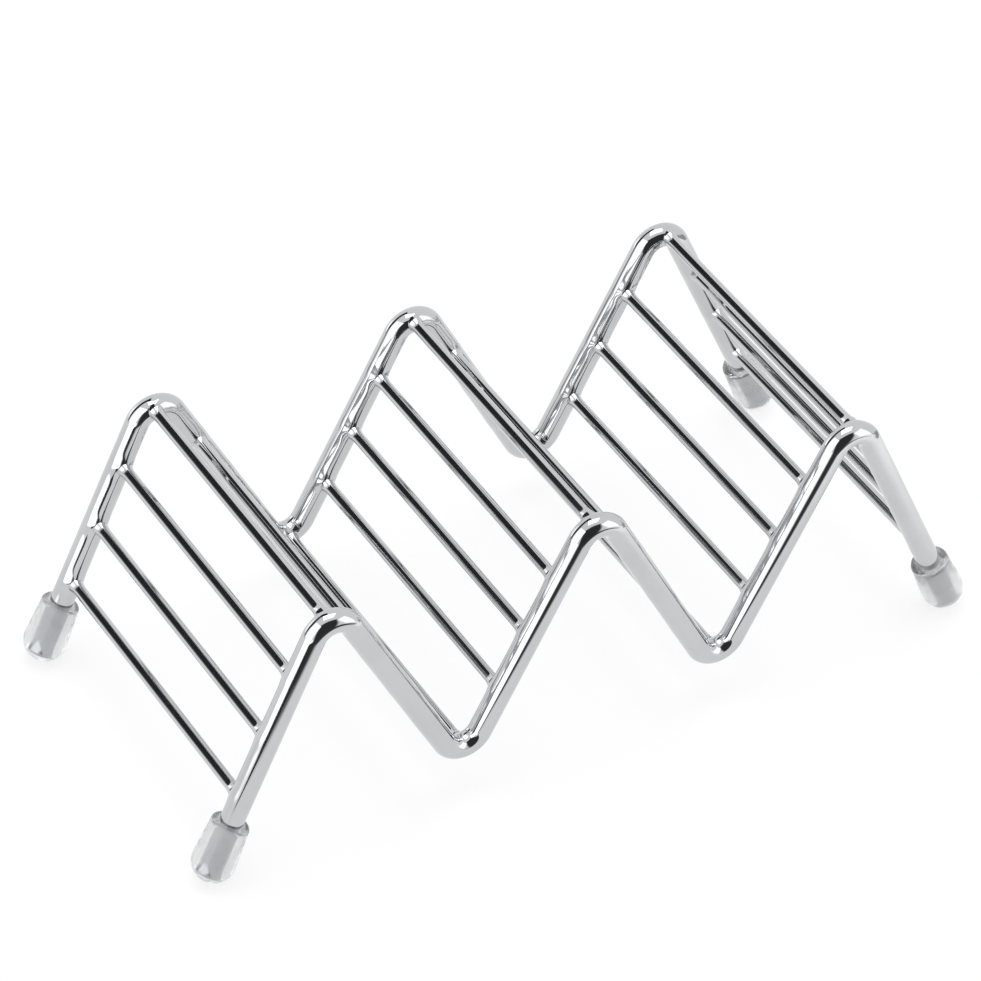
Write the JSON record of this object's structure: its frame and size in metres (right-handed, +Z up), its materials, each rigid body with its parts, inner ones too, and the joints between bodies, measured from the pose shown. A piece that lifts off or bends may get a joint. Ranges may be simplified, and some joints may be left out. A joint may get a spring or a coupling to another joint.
{
  "type": "taco holder",
  "caption": "Chromed wire stand: zigzag side wires joined by welded cross rods form V-shaped troughs that hold tacos upright, on clear plastic foot caps.",
  "frame": {"origin": "on the table, midway between the four feet", "axes": "+X along the zigzag from the left foot to the right foot, +Y from the front wire to the back wire, +Z up"},
  "size_m": [0.2384, 0.11, 0.0772],
  "materials": {
    "side_wire_chrome": "bright polished chrome plate on bent round wire",
    "cross_rod_chrome": "bright polished chrome plate on thin round rod",
    "clear_cap": "clear soft vinyl, slightly grey, glossy"
  },
  "bodies": {
    "root": {"side_wire_front": "side_wire_chrome", "side_wire_back": "side_wire_chrome", "crest_rod_left": "cross_rod_chrome", "crest_rod_middle": "cross_rod_chrome", "crest_rod_right": "cross_rod_chrome", "valley_rod_left": "cross_rod_chrome", "valley_rod_right": "cross_rod_chrome", "leg_rod_left_upper": "cross_rod_chrome", "leg_rod_left_middle": "cross_rod_chrome", "leg_rod_left_lower": "cross_rod_chrome", "slope_rod_left_outer_upper": "cross_rod_chrome", "slope_rod_left_outer_middle": "cross_rod_chrome", "slope_rod_left_outer_lower": "cross_rod_chrome", "slope_rod_left_inner_upper": "cross_rod_chrome", "slope_rod_left_inner_middle": "cross_rod_chrome", "slope_rod_left_inner_lower": "cross_rod_chrome", "slope_rod_right_inner_upper": "cross_rod_chrome", "slope_rod_right_inner_middle": "cross_rod_chrome", "slope_rod_right_inner_lower": "cross_rod_chrome", "slope_rod_right_outer_upper": "cross_rod_chrome", "slope_rod_right_outer_middle": "cross_rod_chrome", "slope_rod_right_outer_lower": "cross_rod_chrome", "leg_rod_right_upper": "cross_rod_chrome", "leg_rod_right_middle": "cross_rod_chrome", "leg_rod_right_lower": "cross_rod_chrome", "foot_cap_front_left": "clear_cap", "foot_cap_front_right": "clear_cap", "foot_cap_back_left": "clear_cap", "foot_cap_back_right": "clear_cap"}
  },
  "joints": []
}
